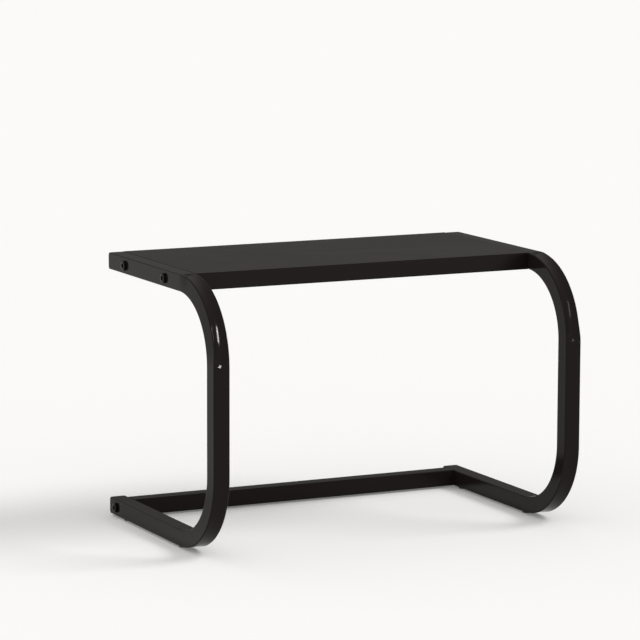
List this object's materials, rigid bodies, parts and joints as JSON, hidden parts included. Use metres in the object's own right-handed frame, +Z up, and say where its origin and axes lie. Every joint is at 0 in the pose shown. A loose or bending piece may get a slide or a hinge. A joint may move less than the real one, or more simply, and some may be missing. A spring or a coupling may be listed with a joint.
{
  "type": "countertop kitchen shelf",
  "caption": "Free-standing countertop shelf: a flat board between bent square-tube side frames that open to the rear, tied by a low rear crossbar, over an open appliance bay.",
  "frame": {"origin": "on the counter, in the middle of the footprint", "axes": "+X along the board, +Y to the rear, +Z up"},
  "size_m": [0.5672, 0.362, 0.377],
  "materials": {
    "frame_paint": "semi-gloss black powder coat",
    "board_melamine": "black melamine face on board, satin",
    "edge_band": "satin black edge strip",
    "plug_plastic": "fine moulded black plastic",
    "foot_rubber": "matt black rubber",
    "bolt_steel": "blackened steel",
    "plated_steel": "zinc plated"
  },
  "bodies": {
    "root": {"top_board": "board_melamine", "front_edge_band": "edge_band", "rear_edge_band": "edge_band", "rear_crossbar": "frame_paint", "left_side_frame": "frame_paint", "left_edge_band": "edge_band", "left_front_board_bolt": "bolt_steel", "left_front_board_insert": "plated_steel", "left_front_foot": "foot_rubber", "left_rear_board_bolt": "bolt_steel", "left_rear_board_insert": "plated_steel", "left_rear_foot": "foot_rubber", "left_crossbar_bolt": "bolt_steel", "left_crossbar_nut": "plated_steel", "left_upper_end_plug": "plug_plastic", "left_lower_end_plug": "plug_plastic", "right_side_frame": "frame_paint", "right_edge_band": "edge_band", "right_front_board_bolt": "bolt_steel", "right_front_board_insert": "plated_steel", "right_front_foot": "foot_rubber", "right_rear_board_bolt": "bolt_steel", "right_rear_board_insert": "plated_steel", "right_rear_foot": "foot_rubber", "right_crossbar_bolt": "bolt_steel", "right_crossbar_nut": "plated_steel", "right_upper_end_plug": "plug_plastic", "right_lower_end_plug": "plug_plastic"}
  },
  "joints": []
}
